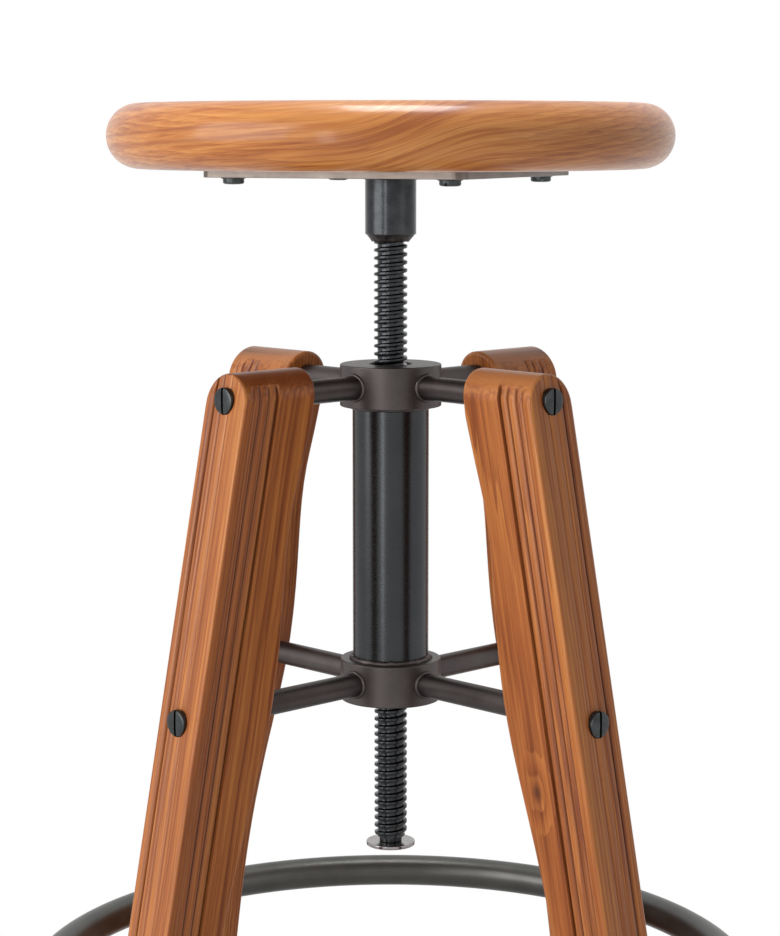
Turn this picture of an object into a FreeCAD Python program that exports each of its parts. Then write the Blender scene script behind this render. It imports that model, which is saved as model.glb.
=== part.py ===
import FreeCAD, Part
import math
import os

# Screw-lift stool, in millimetres.
# A round wooden seat stands on a threaded steel spindle. The spindle turns in a nut at the top
# of a short steel column, and eight steel arms carry the column between four splayed wooden legs.
# The frame has +Z up and its origin on the floor under the column. The front is -Y, and the
# legs stand at 45 degrees to the axes.

V = FreeCAD.Vector
UP = V(0, 0, 1)

# Driving sizes. Lengths are in millimetres and angles in degrees.
SIZES = [
    # Seat and the square plate under it
    ("seat_diameter", 352),
    ("seat_thickness", 40),
    ("plate_side", 175),
    ("plate_thickness", 5),
    ("plate_corner_radius", 8),
    ("plate_hole_spacing", 144),
    ("plate_slot_step", 35),
    ("plate_corner_azimuth", 20.8),
    ("plate_screw_diameter", 6),
    ("plate_screw_reach", 30),
    ("plate_head_diameter", 13),
    ("plate_head_height", 3.2),
    ("plate_washer_diameter", 15),
    ("plate_washer_thickness", 0.8),
    ("hole_clearance", 0.25),
    # Sleeve that holds the spindle under the plate
    ("sleeve_diameter", 32),
    ("sleeve_length", 36),
    ("spigot_diameter", 17),
    ("spigot_gap", 2),
    ("sleeve_weld_height", 4.5),
    ("sleeve_weld_radius", 2),
    # Spindle thread
    ("thread_diameter", 21),
    ("thread_depth", 2.2),
    ("thread_pitch", 5),
    ("thread_crest", 1.7),
    ("thread_root", 2.9),
    ("thread_clearance", 0.3),
    ("travel_down", 75.5),
    ("travel_up", 93.5),
    ("stop_gap", 1),
    # Stop washer under the spindle
    ("neck_diameter", 14.4),
    ("neck_length", 3),
    ("washer_diameter", 31.5),
    ("washer_thickness", 2.3),
    ("journal_diameter", 10),
    ("running_clearance", 0.05),
    ("end_play", 0.15),
    ("washer_screw_diameter", 6),
    ("washer_screw_reach", 16),
    ("washer_head_diameter", 15),
    ("washer_head_height", 1.8),
    # Column: two collars joined by a tube
    ("collar_top_height", 600),
    ("collar_diameter", 64),
    ("collar_height", 26.5),
    ("collar_spacing", 188.5),
    ("collar_bevel", 0.8),
    ("collar_mouth_diameter", 27),
    ("guide_mouth_diameter", 23),
    ("collar_lip", 3),
    ("nut_diameter", 32),
    ("tube_diameter", 48.3),
    ("tube_wall", 3.2),
    ("tube_socket_depth", 3),
    ("tube_weld_radius", 1.8),
    # Arms, as many above as below
    ("arm_diameter", 15),
    ("arm_collar_socket", 8),
    ("leg_clamp", 34),
    ("arm_weld_width", 1.6),
    # Legs
    ("leg_width", 36.6),
    ("leg_face_radius", 136.5),
    ("leg_splay", 11.62),
    ("leg_top_rise", 16),
    ("leg_depth_top", 56),
    ("leg_depth_shoulder", 56.9),
    ("leg_depth_waist", 51.3),
    ("leg_depth_hip", 55.8),
    ("leg_depth_belly", 58.4),
    ("leg_depth_calf", 52.3),
    ("leg_depth_ankle", 45.6),
    ("leg_depth_shin", 47.6),
    ("leg_depth_foot", 50),
    ("shoulder_drop", 15),
    ("waist_drop", 71),
    ("hip_drop", 130),
    ("belly_drop", 193),
    ("calf_drop", 249),
    ("ankle_drop", 318),
    ("shin_drop", 430),
    ("leg_corner_radius", 1.5),
    ("moulding_depth", 26.4),
    ("side_reed_width", 7),
    ("face_bead_width", 7.8),
    ("groove_width", 2),
    ("groove_depth", 1.6),
    ("groove_stop", 17),
    # Screws that hold the legs to the arms
    ("leg_screw_diameter", 8),
    ("leg_screw_grip", 22),
    ("leg_head_diameter", 16),
    ("leg_head_height", 4),
    ("head_crown", 0.9),
    ("slot_width", 1.8),
    ("slot_depth", 1.8),
    # Foot ring and its screws
    ("ring_let_in", 0.5),
    ("ring_tube_diameter", 22),
    ("ring_wall", 2),
    ("ring_height", 200),
    ("ring_screw_diameter", 6),
    ("ring_screw_reach", 45),
    ("ring_head_diameter", 12),
    ("ring_head_height", 3.2),
    ("ring_flat_depth", 2.2),
    # Glides under the legs
    ("glide_diameter", 26),
    ("glide_height", 6),
    ("glide_bevel", 1.5),
    ("glide_stem_diameter", 6),
    ("glide_stem_length", 22),
]

doc = FreeCAD.newDocument("stool")
sheet = doc.addObject("Spreadsheet::Sheet", "sizes")
for row, (alias, number) in enumerate(SIZES, 1):
    sheet.set("A%d" % row, alias)
    sheet.set("B%d" % row, str(number))
    sheet.setAlias("B%d" % row, alias)
doc.recompute()


def size(alias):
    """One driving size, read back from the sheet."""
    return float(getattr(sheet, alias))


# Heights and radii that follow from the driving sizes
collar_top = size("collar_top_height")
collar_bottom = collar_top - size("collar_height")
lower_collar_top = collar_top - size("collar_spacing")
lower_collar_bottom = lower_collar_top - size("collar_height")
upper_arm_height = collar_top - size("collar_height") / 2
lower_arm_height = lower_collar_top - size("collar_height") / 2

weld_bottom = collar_top + size("travel_down") + size("stop_gap")
sleeve_bottom = weld_bottom + size("sleeve_weld_height")
plate_bottom = sleeve_bottom + size("sleeve_length")
seat_bottom = plate_bottom + size("plate_thickness")
seat_top = seat_bottom + size("seat_thickness")

washer_top = lower_collar_bottom - size("travel_up") - size("stop_gap")
washer_bottom = washer_top - size("washer_thickness")
spindle_bottom = washer_top + size("end_play")
thread_bottom = spindle_bottom + size("neck_length")
spigot_top = plate_bottom - size("spigot_gap")

root_radius = size("thread_diameter") / 2 - size("thread_depth")
crest_radius = size("thread_diameter") / 2
arm_radius = size("arm_diameter") / 2
collar_radius = size("collar_diameter") / 2
leg_tilt = math.tan(math.radians(size("leg_splay")))
leg_top = upper_arm_height + size("leg_top_rise")
leg_bottom = size("glide_height")
seat_turn = size("plate_corner_azimuth") - 45

CORNERS = {
    "front_right": -45,
    "back_right": 45,
    "back_left": 135,
    "front_left": 225,
}


def face_radius(height):
    """Distance of the legs' outer faces from the axis, at a height."""
    return size("leg_face_radius") + leg_tilt * (upper_arm_height - height)


def turned(angle):
    return FreeCAD.Rotation(UP, angle)


def bind(thing, **values):
    """Sets an object's sizes: words are expressions on the sheet, numbers follow from it."""
    for name, value in values.items():
        if isinstance(value, str):
            thing.setExpression(name, value)
        else:
            setattr(thing, name, value)
    return thing


def cylinder(name, diameter, height, z=0.0, x=0.0, y=0.0, axis=UP):
    """A cylinder from a point along an axis."""
    thing = doc.addObject("Part::Cylinder", name)
    bind(thing, Radius="(%s) / 2" % diameter, Height=height)
    thing.Placement = FreeCAD.Placement(V(x, y, z), FreeCAD.Rotation(UP, axis))
    return thing


def torus(name, ring_diameter, section_radius, z=0.0, x=0.0, axis=UP):
    thing = doc.addObject("Part::Torus", name)
    bind(thing, Radius1="(%s) / 2" % ring_diameter, Radius2=section_radius)
    thing.Placement = FreeCAD.Placement(V(x, 0, z), FreeCAD.Rotation(UP, axis))
    return thing


def cut(name, base, *tools):
    """The base with each tool taken away in turn."""
    for number, tool in enumerate(tools, 1):
        step = doc.addObject("Part::Cut", name if number == len(tools) else name + "_step")
        step.Base = base
        step.Tool = tool
        base = step
    return base


def fuse(name, *pieces):
    step = doc.addObject("Part::MultiFuse", name)
    step.Shapes = list(pieces)
    return step


def group(name, pieces):
    """Alike pieces that share one node, as separate solids."""
    thing = doc.addObject("Part::Compound", name)
    thing.Links = pieces
    return thing


def feature(name, shape, position=V(0, 0, 0), rotation=FreeCAD.Rotation()):
    """A piece whose shape is made beforehand, moved on from wherever that shape lies."""
    thing = doc.addObject("Part::Feature", name)
    thing.Shape = shape
    thing.Placement = FreeCAD.Placement(position, rotation).multiply(shape.Placement)
    return thing


def at_corners(name, prototype):
    """Four copies of a piece drawn along +X, turned to the legs."""
    doc.recompute()
    made = []
    for where, angle in CORNERS.items():
        copy = feature("%s_%s" % (name, where), prototype.Shape)
        turn = FreeCAD.Placement(V(0, 0, 0), turned(angle))
        copy.Placement = turn.multiply(prototype.Shape.Placement)
        made.append(copy)
    return made


def new_sketch(body, name, role="XY_Plane"):
    sketch = body.newObject("Sketcher::SketchObject", name)
    planes = [plane for plane in body.Origin.OriginFeatures if plane.Role == role]
    sketch.AttachmentSupport = [(planes[0], "")]
    sketch.MapMode = "FlatFace"
    return sketch


def round_edges(name, base, radius, wanted):
    """Rounds the edges of a piece that a test picks out."""
    doc.recompute()
    step = doc.addObject("Part::Fillet", name)
    step.Base = base
    step.Edges = [
        (number, radius, radius)
        for number, edge in enumerate(base.Shape.Edges, 1)
        if wanted(edge)
    ]
    return step


def bevel_rims(name, base, bevel, heights):
    """Bevels the outer rims of a turned piece at the given heights."""
    doc.recompute()
    widest = max(vertex.Point.sub(V(base.Shape.CenterOfMass.x, base.Shape.CenterOfMass.y, vertex.Z)).Length
                 for vertex in base.Shape.Vertexes)
    step = doc.addObject("Part::Chamfer", name)
    step.Base = base
    rims = []
    for number, edge in enumerate(base.Shape.Edges, 1):
        if isinstance(edge.Curve, Part.Circle) and abs(edge.Curve.Radius - widest) < 1e-6:
            if any(abs(edge.Curve.Center.z - height) < 1e-6 for height in heights):
                rims.append((number, bevel, bevel))
    step.Edges = rims
    return step


# Seat: one round board, its rim a full half round
def make_seat():
    radius = size("seat_diameter") / 2
    thick = size("seat_thickness")
    body = doc.addObject("PartDesign::Body", "seat")
    profile = new_sketch(body, "seat_profile", "XZ_Plane")
    flat = radius - thick / 2
    bottom = V(flat, 0, 0)
    rim = V(radius, thick / 2, 0)
    top = V(flat, thick, 0)
    profile.addGeometry(Part.LineSegment(V(0, 0, 0), bottom))
    profile.addGeometry(Part.Arc(bottom, rim, top))
    profile.addGeometry(Part.LineSegment(top, V(0, thick, 0)))
    profile.addGeometry(Part.LineSegment(V(0, thick, 0), V(0, 0, 0)))
    turn = body.newObject("PartDesign::Revolution", "seat_turning")
    turn.Profile = profile
    turn.ReferenceAxis = (profile, ["V_Axis"])
    turn.Angle = 360
    body.Placement = FreeCAD.Placement(V(0, 0, seat_bottom), turned(seat_turn))
    holes = [
        cylinder("seat_pilot_%d" % number, "sizes.plate_screw_diameter",
                 "sizes.plate_screw_reach - sizes.plate_thickness + 1", seat_bottom - 1, *spot)
        for number, spot in enumerate(plate_holes())
    ]
    return cut("seat_drilled", body, *holes)


def plate_holes():
    """Centres of the plate's four screws, turned with the seat."""
    half = size("plate_hole_spacing") / 2
    spots = [V(half, -half, 0), V(half, half, 0), V(-half, half, 0), V(-half, -half, 0)]
    return [tuple(turned(seat_turn).multVec(spot))[:2] for spot in spots]


# Square plate with rounded corners and four holes
def make_plate():
    body = doc.addObject("PartDesign::Body", "seat_plate")
    outline = new_sketch(body, "plate_outline")
    half = size("plate_side") / 2
    corners = [V(-half, -half, 0), V(half, -half, 0), V(half, half, 0), V(-half, half, 0)]
    for number in range(4):
        outline.addGeometry(Part.LineSegment(corners[number], corners[(number + 1) % 4]))
    pad = body.newObject("PartDesign::Pad", "plate_pad")
    pad.Profile = outline
    bind(pad, Length="sizes.plate_thickness")
    doc.recompute()
    uprights = [
        "Edge%d" % (number + 1)
        for number, edge in enumerate(pad.Shape.Edges)
        if abs(edge.tangentAt(edge.FirstParameter).z) > 0.9
    ]
    rounding = body.newObject("PartDesign::Fillet", "plate_rounding")
    rounding.Base = (pad, uprights)
    bind(rounding, Radius="sizes.plate_corner_radius")
    body.Placement = FreeCAD.Placement(V(0, 0, plate_bottom), turned(seat_turn))
    holes = [
        cylinder("plate_hole_%d" % number, "sizes.plate_screw_diameter",
                 "sizes.plate_thickness + 2", plate_bottom - 1, *spot)
        for number, spot in enumerate(plate_holes())
    ]
    return cut("seat_plate_drilled", body, *holes)


# Screw with a crowned, slotted head below z = 0 and its shank above, along +Z
def slotted_screw(name, shank, reach, head, height):
    low = cylinder(name + "_head", "sizes.%s" % head, "sizes.%s" % height, -size(height))
    crown_radius = min(size("head_crown"), 0.45 * size(height))
    crown = round_edges(name + "_crown", low, crown_radius, lambda edge: at_height(edge, -size(height)))
    stem = cylinder(name + "_shank", "sizes.%s" % shank, reach)
    slot = doc.addObject("Part::Box", name + "_slot")
    length = size(head) + 2
    bind(slot, Length="sizes.slot_width", Width=length, Height="sizes.slot_depth + 1")
    slot.Placement = FreeCAD.Placement(
        V(-size("slot_width") / 2, -length / 2, -size(height) - 1), FreeCAD.Rotation())
    made = cut(name + "_slotted", fuse(name + "_whole", crown, stem), slot)
    doc.recompute()
    return made.Shape


def at_height(edge, height):
    """Whether a whole round edge lies at a height."""
    return isinstance(edge.Curve, Part.Circle) and abs(edge.Curve.Center.z - height) < 1e-6


def make_plate_screws():
    reach = size("plate_screw_reach") + size("plate_washer_thickness")
    screw = slotted_screw("plate_screw", "plate_screw_diameter", reach,
                          "plate_head_diameter", "plate_head_height")
    under_washer = plate_bottom - size("plate_washer_thickness")
    made = []
    for number, (x, y) in enumerate(plate_holes()):
        slot_angle = seat_turn + size("plate_slot_step") * number
        made.append(feature("plate_screw_%d" % number, screw, V(x, y, under_washer), turned(slot_angle)))
    return group("plate_screws", made)


def make_plate_washers():
    made = []
    bottom = plate_bottom - size("plate_washer_thickness")
    for number, (x, y) in enumerate(plate_holes()):
        disc = cylinder("plate_washer_disc_%d" % number, "sizes.plate_washer_diameter",
                        "sizes.plate_washer_thickness", bottom, x, y)
        hole = cylinder("plate_washer_hole_%d" % number,
                        "sizes.plate_screw_diameter + 2 * sizes.hole_clearance",
                        "sizes.plate_washer_thickness + 2", bottom - 1, x, y)
        made.append(cut("plate_washer_%d" % number, disc, hole))
    return group("plate_washers", made)


# Sleeve under the plate and the two weld runs that hold it
def make_sleeve():
    outside = cylinder("sleeve_outside", "sizes.sleeve_diameter", "sizes.sleeve_length", sleeve_bottom)
    bore = cylinder("sleeve_bore", "sizes.spigot_diameter", "sizes.sleeve_length + 2", sleeve_bottom - 1)
    return outside, cut("seat_sleeve", outside, bore)


def make_sleeve_welds(plate, sleeve_outside):
    run = torus("plate_weld_run", "sizes.sleeve_diameter", "sizes.sleeve_weld_radius", plate_bottom)
    upper = cut("plate_weld", run, plate, sleeve_outside)
    blob = doc.addObject("Part::Cone", "spindle_weld_blob")
    bind(blob, Radius1="sizes.thread_diameter / 2 + 1", Radius2="sizes.sleeve_diameter / 2 - 1",
         Height="sizes.sleeve_weld_height")
    blob.Placement = FreeCAD.Placement(V(0, 0, weld_bottom), FreeCAD.Rotation())
    bore = cylinder("spindle_weld_bore", "sizes.spigot_diameter", "sizes.sleeve_weld_height + 2",
                    weld_bottom - 1)
    lower = cut("spindle_weld", blob, bore)
    return group("sleeve_welds", [upper, lower])


# Spindle thread: a core with a helical ridge, built in lengths of a few turns and stacked
def thread_length(turns, clearance=0.0):
    """A right-hand thread from z = 0, its ridge starting at +X, swollen by a clearance."""
    pitch = size("thread_pitch")
    core = root_radius + clearance
    crest = crest_radius + clearance
    root_half = size("thread_root") / 2 + clearance
    crest_half = size("thread_crest") / 2 + clearance
    sunk = size("thread_depth") / 8
    outline = Part.makePolygon([
        V(core - sunk, 0, -root_half),
        V(crest, 0, -crest_half),
        V(crest, 0, crest_half),
        V(core - sunk, 0, root_half),
        V(core - sunk, 0, -root_half),
    ])
    length = (turns + 2) * pitch
    ridge = Part.Wire(Part.makeHelix(pitch, length, core).Edges).makePipeShell([outline], True, True)
    ridge.translate(V(0, 0, -pitch))
    rod = Part.makeCylinder(core, length, V(0, 0, -pitch)).fuse(ridge)
    return rod.common(Part.makeCylinder(crest + 1, turns * pitch))


def thread_between(low, high, clearance=0.0, turns=8):
    """Whole stacked lengths that cover two heights, in step with every other thread."""
    pitch = size("thread_pitch")
    start = math.floor((low - thread_bottom) / pitch - 1) * pitch + thread_bottom
    length = thread_length(turns, clearance)
    count = math.ceil((high - start) / (turns * pitch))
    pieces = []
    for number in range(count):
        piece = length.copy()
        piece.translate(V(0, 0, start + number * turns * pitch))
        pieces.append(piece)
    return pieces[0].multiFuse(pieces[1:]) if count > 1 else pieces[0]


def make_spindle():
    """Threaded rod, bevelled at its foot, with a neck below and a plain spigot above."""
    outside = crest_radius + 1
    outline = Part.makePolygon([
        V(0, 0, thread_bottom),
        V(root_radius, 0, thread_bottom),
        V(outside, 0, thread_bottom + outside - root_radius),
        V(outside, 0, weld_bottom),
        V(0, 0, weld_bottom),
        V(0, 0, thread_bottom),
    ])
    envelope = Part.Face(outline).revolve(V(0, 0, 0), UP, 360)
    rod = thread_between(thread_bottom, weld_bottom).common(envelope)
    threaded = feature("spindle_thread", rod)
    neck = cylinder("spindle_neck", "sizes.neck_diameter", "sizes.neck_length", spindle_bottom)
    spigot = cylinder("spindle_spigot", "sizes.spigot_diameter", spigot_top - weld_bottom, weld_bottom)
    tapped = cylinder("spindle_tapping", "sizes.washer_screw_diameter", "sizes.washer_screw_reach + 3",
                      spindle_bottom - 1)
    return cut("lift_screw", fuse("spindle_whole", threaded, neck, spigot), tapped)


# Stop washer, free to turn on the shoulder of its screw
def make_stop_washer():
    disc = cylinder("washer_disc", "sizes.washer_diameter", "sizes.washer_thickness", washer_bottom)
    hole = cylinder("washer_hole", "sizes.journal_diameter + 2 * sizes.running_clearance",
                    "sizes.washer_thickness + 2", washer_bottom - 1)
    soft = round_edges("washer_soft", disc, 0.3 * size("washer_thickness"), lambda edge: (
        at_height(edge, washer_bottom) or at_height(edge, washer_top)))
    return cut("stop_washer", soft, hole)


def make_washer_screw():
    shoulder_bottom = washer_bottom - size("end_play")
    shoulder = cylinder("shoulder", "sizes.journal_diameter",
                        "sizes.washer_thickness + 2 * sizes.end_play", shoulder_bottom)
    screw = slotted_screw("washer_screw", "washer_screw_diameter",
                          size("washer_screw_reach") + spindle_bottom - shoulder_bottom,
                          "washer_head_diameter", "washer_head_height")
    return fuse("washer_screw", feature("washer_screw_bare", screw, V(0, 0, shoulder_bottom)), shoulder)


# Column: collars with a pressed nut above and a pressed guide bush below
def arm_sockets(name, height):
    """Cylinders that sink the four arms into a collar."""
    start = collar_radius - size("arm_collar_socket")
    socket = cylinder(name + "_socket", "sizes.arm_diameter", "sizes.arm_collar_socket + 2",
                      height, start, 0, V(1, 0, 0))
    return at_corners(name + "_sockets", socket)


def make_collar(name, bottom, arm_height, mouth, mouth_bottom, pocket_bottom, socket_bottom):
    """A turned ring with a mouth for the spindle, a pocket for its insert and a seat for the tube."""
    ring = cylinder(name + "_ring", "sizes.collar_diameter", "sizes.collar_height", bottom)
    bevelled = bevel_rims(name + "_bevelled", ring, size("collar_bevel"),
                          [bottom, bottom + size("collar_height")])
    hole = cylinder(name + "_mouth", mouth, "sizes.collar_lip + 2", mouth_bottom)
    pocket = cylinder(name + "_pocket", "sizes.nut_diameter", "sizes.collar_height - sizes.collar_lip",
                      pocket_bottom)
    seat = cylinder(name + "_seat", "sizes.tube_diameter", "sizes.tube_socket_depth", socket_bottom)
    return cut(name, bevelled, hole, pocket, seat, *arm_sockets(name, arm_height))


def make_upper_collar():
    return make_collar("upper_collar", collar_bottom, upper_arm_height, "sizes.collar_mouth_diameter",
                       collar_top - size("collar_lip") - 1, collar_bottom, collar_bottom)


def make_lower_collar():
    return make_collar("lower_collar", lower_collar_bottom, lower_arm_height,
                       "sizes.guide_mouth_diameter", lower_collar_bottom - 1,
                       lower_collar_bottom + size("collar_lip"),
                       lower_collar_top - size("tube_socket_depth"))


def insert_height():
    return "sizes.collar_height - sizes.collar_lip - sizes.tube_socket_depth"


def make_lift_nut():
    bottom = collar_bottom + size("tube_socket_depth")
    blank = cylinder("nut_blank", "sizes.nut_diameter", insert_height(), bottom)
    thread = feature("nut_thread", thread_between(bottom - 1, collar_top, size("thread_clearance")))
    return cut("lift_nut", blank, thread)


def make_guide_bush():
    bottom = lower_collar_bottom + size("collar_lip")
    blank = cylinder("guide_blank", "sizes.nut_diameter", insert_height(), bottom)
    bore = cylinder("guide_bore", "sizes.thread_diameter + 2 * sizes.thread_clearance",
                    "sizes.collar_height", bottom - 1)
    return cut("guide_bush", blank, bore)


def make_tube():
    bottom = lower_collar_top - size("tube_socket_depth")
    length = collar_bottom + size("tube_socket_depth") - bottom
    outside = cylinder("tube_outside", "sizes.tube_diameter", length, bottom)
    inside = cylinder("tube_inside", "sizes.tube_diameter - 2 * sizes.tube_wall", length + 2, bottom - 1)
    return outside, cut("centre_tube", outside, inside)


def make_tube_welds(tube_outside):
    made = []
    for where, height, start in (
        ("upper", collar_bottom, collar_bottom),
        ("lower", lower_collar_top, lower_collar_bottom),
    ):
        run = torus(where + "_tube_run", "sizes.tube_diameter", "sizes.tube_weld_radius", height)
        collar = cylinder(where + "_tube_run_stop", "sizes.collar_diameter", "sizes.collar_height", start)
        made.append(cut(where + "_tube_weld", run, tube_outside, collar))
    return group("tube_welds", made)


# Arms: round bars from the collars to the legs, tapped at their outer ends
def arm_end(height):
    return face_radius(height) - size("leg_clamp")


def make_arms(level, height):
    start = collar_radius - size("arm_collar_socket")
    end = arm_end(height)
    bar = cylinder(level + "_bar", "sizes.arm_diameter", end - start, height, start, 0, V(1, 0, 0))
    tapped = cylinder(level + "_tapping", "sizes.leg_screw_diameter", "sizes.leg_screw_grip + 3",
                      height, end + 1, 0, V(-1, 0, 0))
    return bar, at_corners(level + "_arm", cut(level + "_arm", bar, tapped))


def make_arm_welds(level, height, bar, collar_low):
    """A low rounded bead round each arm where it leaves the collar."""
    start = collar_radius - size("arm_collar_socket") / 2
    end = collar_radius + size("arm_weld_width")
    bead = cylinder(level + "_arm_run", "sizes.arm_diameter + 2 * sizes.arm_weld_width", end - start,
                    height, start, 0, V(1, 0, 0))
    soft = round_edges(level + "_arm_run_soft", bead, 0.8 * size("arm_weld_width"), lambda edge: (
        isinstance(edge.Curve, Part.Circle) and edge.Curve.Center.x > collar_radius))
    collar = cylinder(level + "_arm_run_stop", "sizes.collar_diameter", "sizes.collar_height", collar_low)
    weld = cut(level + "_arm_weld", soft, collar, bar)
    return group(level + "_arm_welds", at_corners(level + "_arm_weld", weld))


# Leg: a splayed board, waisted on its inner edge, with a round top and reeded outer half
def inner_edge():
    """Points down the inner edge, as distances from the axis and heights."""
    stations = [(leg_top, "top")]
    for name in ("shoulder", "waist", "hip", "belly", "calf", "ankle", "shin"):
        stations.append((upper_arm_height - size(name + "_drop"), name))
    stations.append((leg_bottom, "foot"))
    return [V(face_radius(height) - size("leg_depth_" + name), 0, height) for height, name in stations]


def along_leg(points, top):
    """A prism on the floor outline, leaning with the leg up to a height."""
    base = Part.Face(Part.makePolygon(points + [points[0]]))
    return base.extrude(V(-leg_tilt * top, 0, top))


def leg_prism():
    """The board's outline in plan, its two outer corners rounded."""
    half = size("leg_width") / 2
    corner = size("leg_corner_radius")
    slant = corner * (1 - math.sqrt(0.5))
    face = face_radius(0)
    back = face - 2 * size("leg_depth_belly")
    edges = [
        Part.makeLine(V(back, -half, 0), V(face - corner, -half, 0)),
        Part.Arc(V(face - corner, -half, 0), V(face - slant, slant - half, 0),
                 V(face, corner - half, 0)).toShape(),
        Part.makeLine(V(face, corner - half, 0), V(face, half - corner, 0)),
        Part.Arc(V(face, half - corner, 0), V(face - slant, half - slant, 0),
                 V(face - corner, half, 0)).toShape(),
        Part.makeLine(V(face - corner, half, 0), V(back, half, 0)),
        Part.makeLine(V(back, half, 0), V(back, -half, 0)),
    ]
    height = leg_top + 1
    return Part.Face(Part.Wire(edges)).extrude(V(-leg_tilt * height, 0, height))


def leg_side():
    """The board seen from its side, as wide as the leg."""
    half = size("leg_width") / 2
    inner = inner_edge()
    curve = Part.BSplineCurve()
    curve.interpolate(inner)
    outer_top = V(face_radius(leg_top), 0, leg_top)
    outer_foot = V(face_radius(leg_bottom), 0, leg_bottom)
    edges = [
        curve.toShape(),
        Part.makeLine(inner[-1], outer_foot),
        Part.makeLine(outer_foot, outer_top),
        Part.makeLine(outer_top, inner[0]),
    ]
    side = Part.Face(Part.Wire(edges))
    side.translate(V(0, -half, 0))
    return side.extrude(V(0, 2 * half, 0))


def leg_arch():
    """Stock under a half-round top, lying along the radius."""
    half = size("leg_width") / 2
    reach = face_radius(0) + 1
    spring = leg_top - half
    block = Part.makeBox(reach, 2 * half, spring, V(0, -half, 0))
    return block.fuse(Part.makeCylinder(half, reach, V(0, 0, spring), V(1, 0, 0)))


def leg_grooves():
    """V grooves between the reeds, stopped short of the top."""
    half = size("leg_width") / 2
    deep = size("groove_depth")
    wide = size("groove_width") / 2
    face = face_radius(0)
    top = leg_top - size("groove_stop")
    grooves = []
    for number in range(3):
        x = face - size("moulding_depth") + number * size("side_reed_width")
        for side in (-1, 1):
            grooves.append(along_leg([
                V(x - 2 * wide, side * (half + deep), 0),
                V(x + 2 * wide, side * (half + deep), 0),
                V(x, side * (half - deep), 0),
            ], top))
    for side in (-1, 1):
        y = side * (half - size("face_bead_width"))
        grooves.append(along_leg([
            V(face + deep, y - 2 * wide, 0),
            V(face + deep, y + 2 * wide, 0),
            V(face - deep, y, 0),
        ], top))
    return grooves


def screw_seat(height):
    """Distance from the axis of the flat that a leg screw's head bears on."""
    return face_radius(height + size("leg_head_diameter") / 2)


def leg_borings():
    """Sockets for the arms, holes and flats for their screws, and the ring's and glide's holes."""
    out = V(1, 0, 0)
    made = []
    for height in (upper_arm_height, lower_arm_height):
        end = arm_end(height)
        flat = screw_seat(height)
        made.append(Part.makeCylinder(arm_radius, end, V(0, 0, height), out))
        bore = size("leg_screw_diameter") / 2 + size("hole_clearance")
        made.append(Part.makeCylinder(bore, flat - end + 2, V(end - 1, 0, height), out))
        spot = size("leg_head_diameter") / 2 + size("hole_clearance")
        made.append(Part.makeCylinder(spot, 20, V(flat, 0, height), out))
    made.append(ring_solid())
    made.append(Part.makeCylinder(size("ring_screw_diameter") / 2, size("ring_screw_reach") + 2,
                                  V(ring_flat(), 0, size("ring_height")), V(-1, 0, 0)))
    made.append(Part.makeCylinder(size("glide_stem_diameter") / 2, size("glide_stem_length") + 2,
                                  V(foot_radius(), 0, leg_bottom - 1)))
    return made


def make_legs():
    board = leg_side().common(leg_prism()).common(leg_arch())
    board = board.cut(leg_grooves() + leg_borings())
    return at_corners("leg", feature("leg_pattern", board))


def make_leg_screws(level, height):
    """Slotted screws that pull the legs onto the arms, their slots upright."""
    reach = screw_seat(height) - arm_end(height) + size("leg_screw_grip")
    screw = slotted_screw(level + "_leg_screw", "leg_screw_diameter", reach,
                          "leg_head_diameter", "leg_head_height")
    inward = FreeCAD.Rotation(UP, V(-1, 0, 0)).multiply(turned(90))
    pattern = feature(level + "_leg_screw_pattern", screw, V(screw_seat(height), 0, height), inward)
    return group(level + "_leg_screws", at_corners(level + "_leg_screw", pattern))


# Foot ring: a bent tube let a little way into the legs' outer faces
def ring_radius():
    return face_radius(size("ring_height")) + size("ring_tube_diameter") / 2 - size("ring_let_in")


def ring_flat():
    """Distance from the axis of the flats under the ring screws' heads."""
    return ring_radius() + size("ring_tube_diameter") / 2 - size("ring_flat_depth")


def ring_solid():
    ring = Part.makeTorus(ring_radius(), size("ring_tube_diameter") / 2)
    ring.translate(V(0, 0, size("ring_height")))
    return ring


def make_foot_ring():
    bend = 2 * ring_radius()
    skin = torus("ring_skin", bend, "sizes.ring_tube_diameter / 2", size("ring_height"))
    hollow = torus("ring_hollow", bend,
                   "sizes.ring_tube_diameter / 2 - sizes.ring_wall", size("ring_height"))
    spot = cylinder("ring_spot", "sizes.ring_head_diameter + 2 * sizes.hole_clearance",
                    "sizes.ring_tube_diameter / 2", size("ring_height"), ring_flat(), 0, V(1, 0, 0))
    bore = cylinder("ring_bore", "sizes.ring_screw_diameter + 2 * sizes.hole_clearance",
                    "sizes.ring_tube_diameter + 4", size("ring_height"), ring_flat() + 1, 0, V(-1, 0, 0))
    return cut("foot_ring", skin, hollow, *at_corners("ring_spots", spot), *at_corners("ring_bores", bore))


def make_ring_screws():
    screw = slotted_screw("ring_screw", "ring_screw_diameter", "sizes.ring_screw_reach",
                          "ring_head_diameter", "ring_head_height")
    inward = FreeCAD.Rotation(UP, V(-1, 0, 0)).multiply(turned(90))
    pattern = feature("ring_screw_pattern", screw, V(ring_flat(), 0, size("ring_height")), inward)
    return group("ring_screws", at_corners("ring_screw", pattern))


# Glides: moulded discs with a stem driven up into each foot
def foot_radius():
    return face_radius(leg_bottom) - size("leg_depth_foot") / 2


def make_glides():
    disc = cylinder("glide_disc", "sizes.glide_diameter", "sizes.glide_height", 0.0, foot_radius())
    bevelled = round_edges("glide_bevelled", disc, size("glide_bevel"), lambda edge: at_height(edge, 0))
    stem = cylinder("glide_stem", "sizes.glide_stem_diameter", "sizes.glide_stem_length",
                    leg_bottom, foot_radius())
    return at_corners("glide", fuse("glide_pattern", bevelled, stem))


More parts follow.
